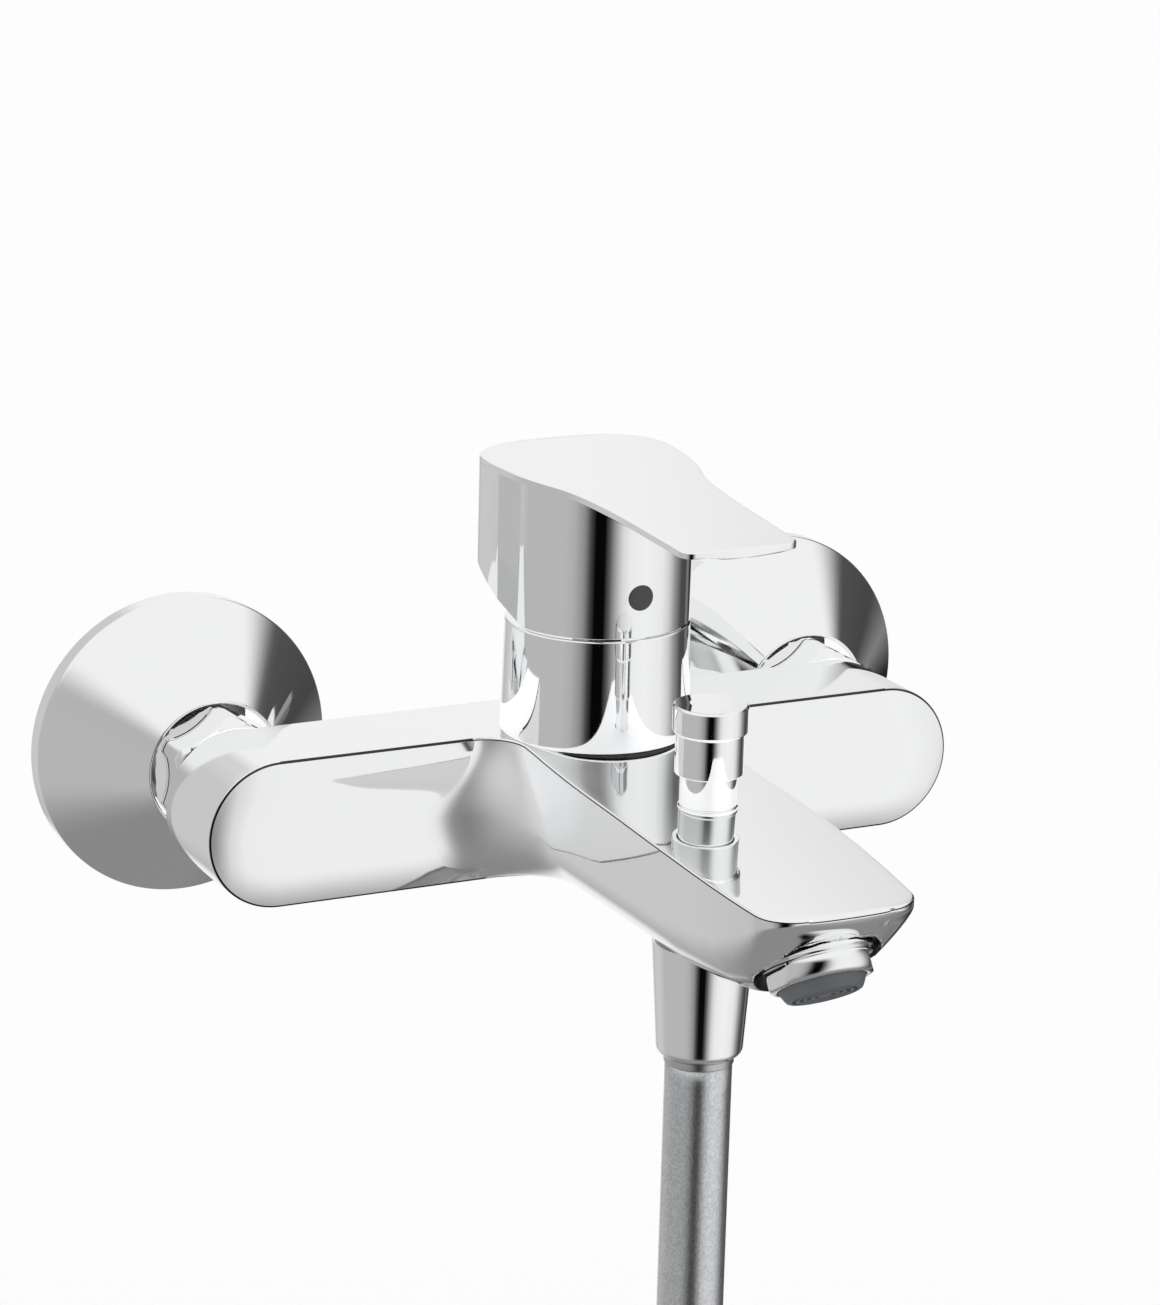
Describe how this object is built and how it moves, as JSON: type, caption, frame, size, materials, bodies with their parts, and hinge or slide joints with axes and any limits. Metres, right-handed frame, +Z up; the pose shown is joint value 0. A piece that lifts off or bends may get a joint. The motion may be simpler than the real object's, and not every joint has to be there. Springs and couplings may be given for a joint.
{
  "type": "wall mounted bath faucet",
  "caption": "Wall mounted single-lever bath mixer with angular cast spout, pull-up diverter knob, tilted aerator, conical wall rosettes and a coiled shower hose.",
  "frame": {"origin": "midway between the two wall threads, on the plane of the finished wall", "axes": "+X along the wall to the right as seen from the room, +Y into the wall, +Z up; the spout points along -Y"},
  "size_m": [0.2758, 0.1925, 0.3929],
  "materials": {
    "chrome_body": "polished chrome plate on cast brass",
    "chrome_trim": "polished chrome plate",
    "lever_chrome": "polished chrome plate on cast metal",
    "brass": "machined brass",
    "steel": "turned steel",
    "ceramic": "lapped ceramic",
    "black_rubber": "moulded rubber",
    "cartridge_plastic": "moulded plastic",
    "dark_plastic": "moulded dark plastic",
    "limit_red": "moulded red plastic",
    "valve_blue": "moulded blue plastic",
    "insert_grey": "moulded grey silicone",
    "index_grey": "dark grey plug",
    "hose_silver": "smooth PVC over a silver foil braid"
  },
  "bodies": {
    "mixer": {"faucet_body": "chrome_body", "left_rosette": "chrome_trim", "right_rosette": "chrome_trim", "left_s_union": "brass", "right_s_union": "brass", "left_union_nut": "chrome_trim", "right_union_nut": "chrome_trim", "left_inlet_nipple": "brass", "right_inlet_nipple": "brass", "left_filter_gasket": "black_rubber", "right_filter_gasket": "black_rubber", "cartridge_sleeve": "chrome_trim", "cartridge_nut": "brass", "cartridge_housing": "cartridge_plastic", "cartridge_base": "dark_plastic", "cartridge_seals": "black_rubber", "fixed_disc": "ceramic", "limit_ring": "limit_red", "diverter_spring": "steel", "diverter_bonnet": "chrome_trim", "diverter_o_ring": "black_rubber", "shower_nipple": "brass", "check_valve_case": "cartridge_plastic", "check_valve_spring": "steel", "hose_nut": "chrome_trim", "hose_gasket": "black_rubber", "hose_nozzle": "brass", "hose_ferrules": "steel", "shower_hose": "hose_silver", "hose_coil": "hose_silver", "hose_tail": "hose_silver", "hose_tie": "dark_plastic", "hand_shower_nut": "chrome_trim", "hand_shower_gasket": "black_rubber", "aerator_housing": "chrome_trim", "aerator_insert": "insert_grey", "aerator_gasket": "black_rubber"},
    "swivel": {"swivel_rotor": "cartridge_plastic", "lever_pivot_pin": "steel"},
    "lever": {"lever_stem": "steel", "lever_handle": "lever_chrome", "grub_screw": "steel", "index_plug": "index_grey"},
    "valve_disc": {"moving_disc": "ceramic", "disc_carrier": "dark_plastic"},
    "diverter": {"diverter_knob": "chrome_trim", "diverter_stem": "brass", "diverter_disc": "brass", "diverter_seals": "black_rubber"},
    "check_valve": {"check_valve_poppet": "valve_blue"}
  },
  "joints": [
    {"name": "lever_swivel", "type": "hinge", "parent": "mixer", "child": "swivel", "pos_m": [0, -0.0618, 0.019], "axis": [0, 0, 1], "range_deg": [-50, 50]},
    {"name": "lever_lift", "type": "hinge", "parent": "swivel", "child": "lever", "pos_m": [0, -0.0618, 0.019], "axis": [-1, 0, 0], "range_deg": [0, 25]},
    {"name": "disc_slide", "type": "slide", "parent": "swivel", "child": "valve_disc", "axis": [0, -1, 0], "range_m": [0, 0.00676]},
    {"name": "diverter_pull", "type": "slide", "parent": "mixer", "child": "diverter", "axis": [0, 0, 1], "range_m": [0, 0.007], "stiffness_N_per_m": 150, "springref_m": -0.01, "deforming": ["diverter_spring"]},
    {"name": "check_valve_open", "type": "slide", "parent": "mixer", "child": "check_valve", "axis": [0, 0, -1], "range_m": [0, 0.003], "stiffness_N_per_m": 60, "springref_m": -0.003, "deforming": ["check_valve_spring"]}
  ],
  "couplings": [
    {"joint": "disc_slide", "follows": "lever_lift", "m_per_rad": 0.0155}
  ]
}
